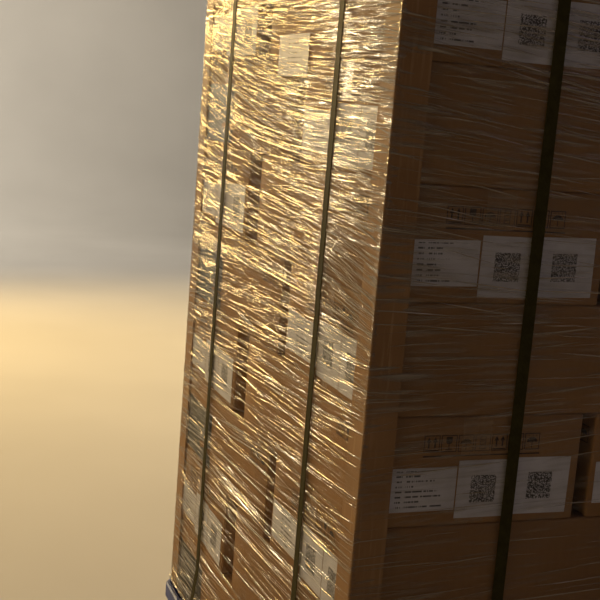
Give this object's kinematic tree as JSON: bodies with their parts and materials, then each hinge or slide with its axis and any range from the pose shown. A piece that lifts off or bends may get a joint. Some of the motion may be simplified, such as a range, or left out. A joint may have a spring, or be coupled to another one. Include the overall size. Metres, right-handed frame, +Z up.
{
  "type": "shrink wrapped pallet load",
  "caption": "Interlocked layers of kraft cartons on a moulded leg pallet, with corner boards, clear stretch wrap and straps.",
  "frame": {"origin": "on the floor under the middle of the pallet", "axes": "+Z up, +X along the long side of the load, +Y along the short side; the labelled front face looks to -Y"},
  "size_m": [1.1422, 1.0022, 1.7828],
  "materials": {
    "pallet": "moulded, satin, blue",
    "carton": "brown kraft corrugated board",
    "label": "matt printed paper",
    "board": "laminated kraft paper board",
    "film": "clear stretch film, glossy, wrinkled",
    "strap": "embossed dark green strapping"
  },
  "bodies": {
    "root": {"pallet": "pallet", "carton_layer_01": "carton", "carton_layer_02": "carton", "carton_layer_03": "carton", "carton_layer_04": "carton", "carton_layer_05": "carton", "carton_layer_06": "carton", "carton_layer_07": "carton", "carton_layer_08": "carton", "carton_layer_09": "carton", "carton_layer_10": "carton", "carton_labels": "label", "corner_board_front_left": "board", "corner_board_back_left": "board", "corner_board_front_right": "board", "corner_board_back_right": "board", "film_wrap": "film", "strap_long_front": "strap", "strap_long_back": "strap", "strap_short_left": "strap", "strap_short_right": "strap"}
  },
  "joints": []
}
